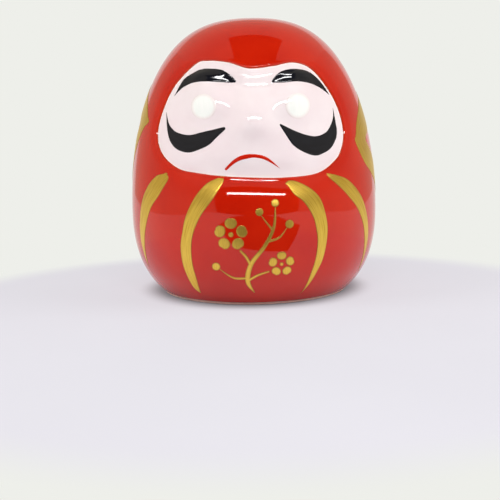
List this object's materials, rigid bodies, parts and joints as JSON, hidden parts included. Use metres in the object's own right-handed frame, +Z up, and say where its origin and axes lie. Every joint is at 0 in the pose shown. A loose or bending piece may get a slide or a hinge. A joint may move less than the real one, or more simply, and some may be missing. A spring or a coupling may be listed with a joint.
{
  "type": "daruma doll ornament",
  "caption": "Glazed ceramic daruma doll: hollow egg-shaped body on a flat bare foot, red glaze, pale face in relief, black and gold brushwork, gold plum sprig on the belly.",
  "frame": {"origin": "centre of the foot ring, on the surface that the doll stands on", "axes": "+Z up from the foot to the crown, -Y out of the face, +X towards the viewer's right when the face is seen from the front"},
  "size_m": [0.0747, 0.0746, 0.081],
  "materials": {
    "bisque": "bare fired clay",
    "red_glaze": "gloss glaze",
    "face_glaze": "gloss glaze",
    "white_enamel": "gloss overglaze enamel",
    "black_enamel": "gloss overglaze enamel",
    "mouth_enamel": "gloss overglaze enamel",
    "gold_lustre": "fired gold lustre"
  },
  "bodies": {
    "root": {"ceramic_body": "bisque", "red_glaze": "red_glaze", "face_glaze": "face_glaze", "left_eye": "white_enamel", "right_eye": "white_enamel", "left_brow": "black_enamel", "right_brow": "black_enamel", "left_whisker": "black_enamel", "right_whisker": "black_enamel", "mouth": "mouth_enamel", "inner_stripe_left": "gold_lustre", "inner_stripe_right": "gold_lustre", "outer_stripe_left": "gold_lustre", "outer_stripe_right": "gold_lustre", "sleeve_band_left": "gold_lustre", "sleeve_band_right": "gold_lustre", "sprig_branch": "gold_lustre", "large_blossom": "gold_lustre", "small_blossom": "gold_lustre", "sprig_buds": "gold_lustre"}
  },
  "joints": []
}
